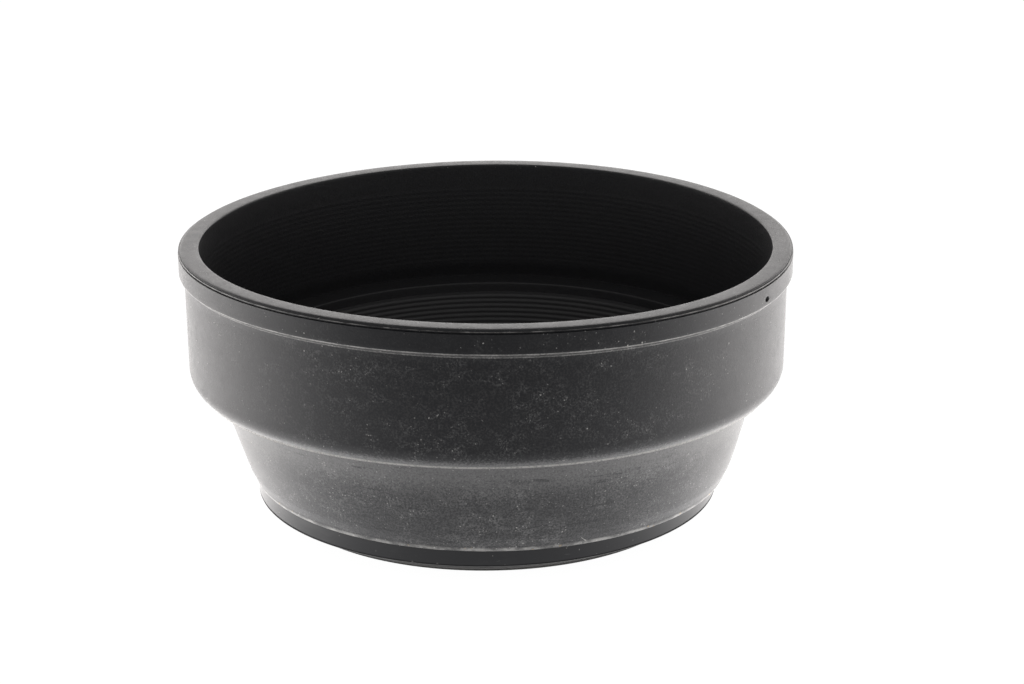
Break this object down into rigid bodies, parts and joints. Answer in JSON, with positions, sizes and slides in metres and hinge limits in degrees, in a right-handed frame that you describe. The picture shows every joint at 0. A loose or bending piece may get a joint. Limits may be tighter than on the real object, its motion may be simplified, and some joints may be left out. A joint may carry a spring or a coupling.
{
  "type": "lens hood",
  "caption": "Round collapsible rubber lens hood: wide ribbed front, soft rear cone, and a metal screw-in mounting ring.",
  "frame": {"origin": "centre of the mounting thread's free end, at the bottom of the hood", "axes": "+Z along the optical axis, towards the open front; the hood is round, and -Y faces the viewer"},
  "size_m": [0.1042, 0.1042, 0.0465],
  "materials": {
    "hood_rubber": "matte, dusty",
    "ring_metal": "satin black anodised"
  },
  "bodies": {
    "mount": {"mount_ring": "ring_metal", "clamp_ring": "ring_metal", "base_collar": "hood_rubber", "rear_cone": "hood_rubber"},
    "front": {"fold_shoulder": "hood_rubber", "front_wall": "hood_rubber", "front_lip": "hood_rubber"}
  },
  "joints": [
    {"name": "collapse", "type": "slide", "parent": "mount", "child": "front", "axis": [0, 0, -1], "range_m": [0, 0.028], "deforming": ["rear_cone"]}
  ]
}
